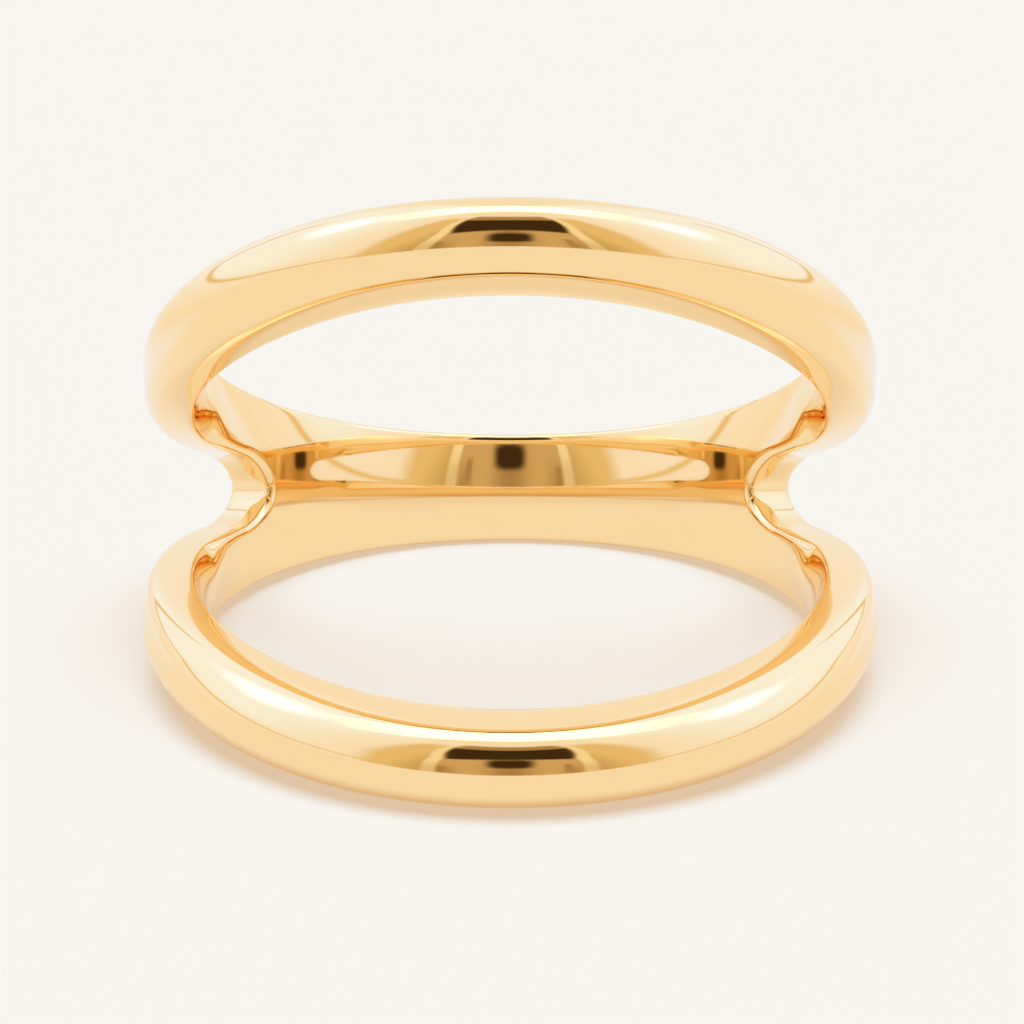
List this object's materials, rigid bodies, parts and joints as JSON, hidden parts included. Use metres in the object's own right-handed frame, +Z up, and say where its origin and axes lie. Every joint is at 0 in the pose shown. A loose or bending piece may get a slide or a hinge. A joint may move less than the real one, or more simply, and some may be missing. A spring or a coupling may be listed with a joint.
{
  "type": "double band ring",
  "caption": "Double band finger ring: smooth domed bands stand apart at the front and merge into one wall at the back.",
  "frame": {"origin": "on the floor, under the middle of the ring's box as it lies on its lower rim", "axes": "+Z up; -Y towards the front, where the bands stand apart; +X to the right; the finger hole's axis leans back from +Z by 18 degrees"},
  "size_m": [0.0206, 0.0218, 0.0148],
  "materials": {
    "yellow_gold": "high polish, pale yellow gold"
  },
  "bodies": {
    "root": {"double_band": "yellow_gold"}
  },
  "joints": []
}
